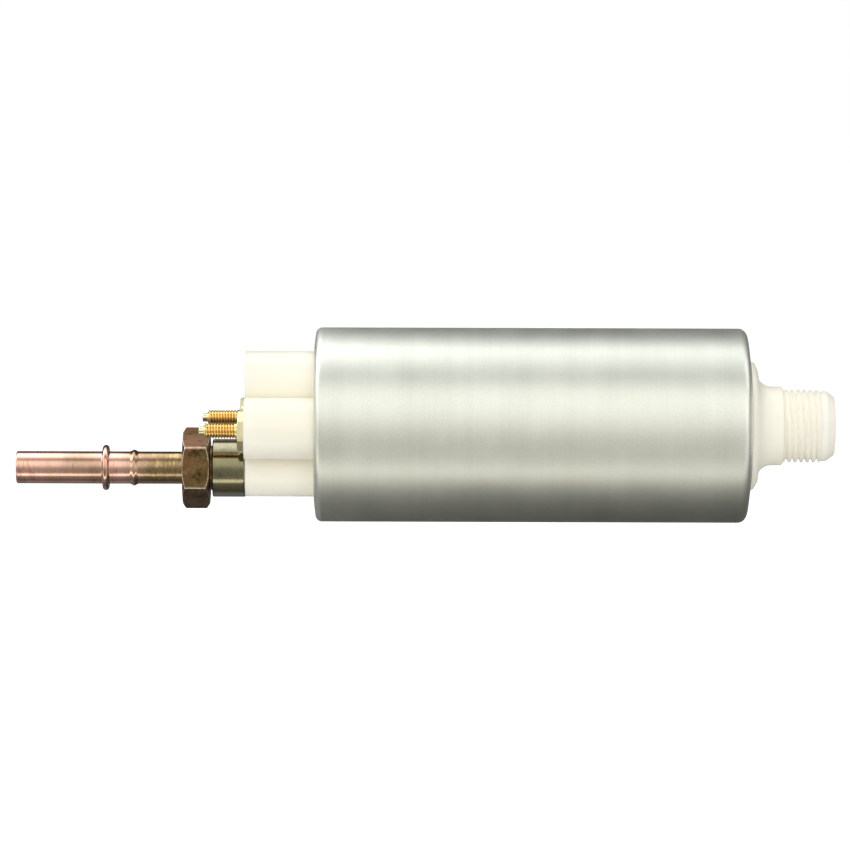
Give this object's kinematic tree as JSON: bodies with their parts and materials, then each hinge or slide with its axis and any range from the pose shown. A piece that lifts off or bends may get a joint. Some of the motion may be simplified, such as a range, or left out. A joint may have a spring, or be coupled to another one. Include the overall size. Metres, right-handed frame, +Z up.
{
  "type": "fuel lift pump",
  "caption": "Electric fuel lift pump in a rolled steel can, with a quick-connect outlet tube, stud terminals and a threaded inlet nose.",
  "frame": {"origin": "centre of the can, on its axis", "axes": "+X along the pump from the outlet to the inlet, +Z up with the outlet tube below the axis, +Y across the two studs"},
  "size_m": [0.2019, 0.048, 0.048],
  "materials": {
    "zinc_steel": "satin zinc plate with a fine speckle",
    "white_acetal": "moulded, cream white",
    "seal_rubber": "matt black",
    "chromated_tube": "yellow passivated, iridescent",
    "chromated_fitting": "brown to olive passivated",
    "chromated_collar": "olive passivated",
    "terminal_brass": "turned, bright",
    "enamelled_wire": "enamelled copper wire",
    "carbon": "pressed carbon",
    "spring_steel": "drawn wire and strip",
    "bare_copper": "bare copper",
    "ferrite": "ground ferrite",
    "sintered_bronze": "sintered, oil filled",
    "natural_nylon": "natural",
    "ground_steel": "ground",
    "lamination_steel": "stacked sheet edges",
    "brown_phenolic": "moulded",
    "sintered_steel": "sintered and ground",
    "die_cast_plate": "ground faces"
  },
  "bodies": {
    "pump_body": {"can": "zinc_steel", "outlet_cover": "white_acetal", "outlet_cover_seal": "seal_rubber", "inlet_cover": "white_acetal", "inlet_cover_seal": "seal_rubber", "outlet_tube": "chromated_tube", "outlet_fitting": "chromated_fitting", "outlet_collar": "chromated_collar", "outlet_seal": "seal_rubber", "terminal_near": "terminal_brass", "terminal_far": "terminal_brass", "choke_near": "enamelled_wire", "choke_far": "enamelled_wire", "brush_spring_near": "spring_steel", "brush_spring_far": "spring_steel", "brush_lead_near": "bare_copper", "brush_lead_far": "bare_copper", "magnet_near": "ferrite", "magnet_far": "ferrite", "magnet_clip_top": "spring_steel", "magnet_clip_bottom": "spring_steel", "bearing_outlet": "sintered_bronze", "bearing_inlet": "sintered_bronze", "pump_ring": "sintered_steel", "outlet_port_plate": "die_cast_plate", "inlet_port_plate": "die_cast_plate", "dowel_pins": "ground_steel", "check_valve_seat": "terminal_brass", "check_valve_spring": "spring_steel", "relief_spring": "spring_steel"},
    "armature": {"armature_shaft": "ground_steel", "laminations": "lamination_steel", "windings": "enamelled_wire", "commutator_base": "brown_phenolic", "commutator": "bare_copper", "inner_rotor": "sintered_steel", "thrust_washer_outlet": "natural_nylon", "thrust_washer_inlet": "natural_nylon"},
    "outer_rotor": {"outer_rotor": "sintered_steel"},
    "brush_near": {"brush_near": "carbon"},
    "brush_far": {"brush_far": "carbon"},
    "check_valve": {"check_valve": "natural_nylon"},
    "relief_valve": {"relief_ball": "ground_steel"}
  },
  "joints": [
    {"name": "armature_spin", "type": "hinge", "parent": "pump_body", "child": "armature", "pos_m": [0, 0, 0], "axis": [1, 0, 0], "continuous": true},
    {"name": "outer_rotor_spin", "type": "hinge", "parent": "pump_body", "child": "outer_rotor", "pos_m": [0, 0, 0.0011], "axis": [1, 0, 0], "continuous": true},
    {"name": "brush_near_slide", "type": "slide", "parent": "pump_body", "child": "brush_near", "axis": [-1, 0, 0], "range_m": [0, 0.002], "stiffness_N_per_m": 150, "springref_m": -0.004, "deforming": ["brush_spring_near", "brush_lead_near"]},
    {"name": "brush_far_slide", "type": "slide", "parent": "pump_body", "child": "brush_far", "axis": [-1, 0, 0], "range_m": [0, 0.002], "stiffness_N_per_m": 150, "springref_m": -0.004, "deforming": ["brush_spring_far", "brush_lead_far"]},
    {"name": "check_valve_slide", "type": "slide", "parent": "pump_body", "child": "check_valve", "axis": [-1, 0, 0], "range_m": [0, 0.002], "stiffness_N_per_m": 60, "springref_m": -0.002, "deforming": ["check_valve_spring"]},
    {"name": "relief_valve_slide", "type": "slide", "parent": "pump_body", "child": "relief_valve", "axis": [1, 0, 0], "range_m": [0, 0.0015], "stiffness_N_per_m": 600, "springref_m": -0.002, "deforming": ["relief_spring"]}
  ],
  "couplings": [
    {"joint": "outer_rotor_spin", "follows": "armature_spin", "ratio": 0.85714}
  ]
}
